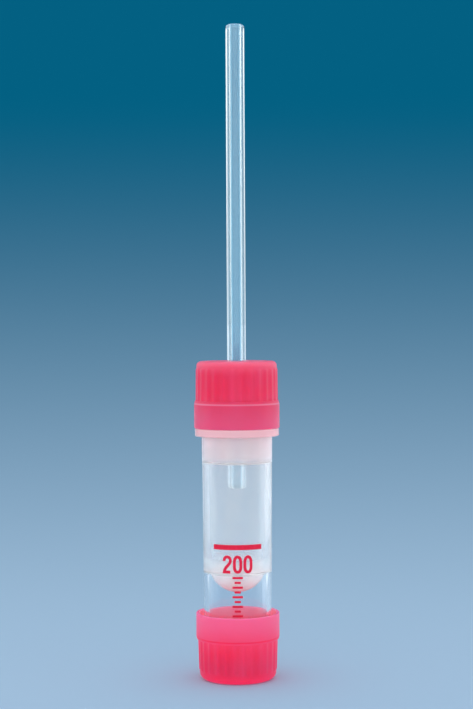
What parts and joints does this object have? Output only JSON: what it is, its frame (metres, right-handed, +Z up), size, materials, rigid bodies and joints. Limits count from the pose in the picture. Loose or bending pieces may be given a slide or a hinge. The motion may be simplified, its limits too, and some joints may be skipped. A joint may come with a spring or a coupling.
{
  "type": "blood collection tube",
  "caption": "Capillary blood collection tube: clear false-bottomed tube with a ribbed perforated push cap holding a straight glass capillary, standing on its closed storage cap.",
  "frame": {"origin": "centre of the flat end of the storage cap, on the surface that the tube stands on", "axes": "+Z up along the common axis, from the storage cap to the free end of the capillary"},
  "size_m": [0.011, 0.011, 0.0842],
  "materials": {
    "red_cap": "translucent polyethylene, satin",
    "clear_tube": "clear polypropylene, slightly milky",
    "capillary_glass": "clear glass, fire polished ends"
  },
  "bodies": {
    "storage_cap": {"storage_cap": "red_cap"},
    "sample_tube": {"sample_tube": "clear_tube"},
    "collecting_cap": {"perforated_cap": "red_cap", "capillary": "capillary_glass"}
  },
  "joints": [
    {"name": "tube_lift", "type": "slide", "parent": "storage_cap", "child": "sample_tube", "axis": [0, 0, 1], "range_m": [0, 0.01]},
    {"name": "cap_lift", "type": "slide", "parent": "sample_tube", "child": "collecting_cap", "axis": [0, 0, 1], "range_m": [0, 0.018]}
  ]
}
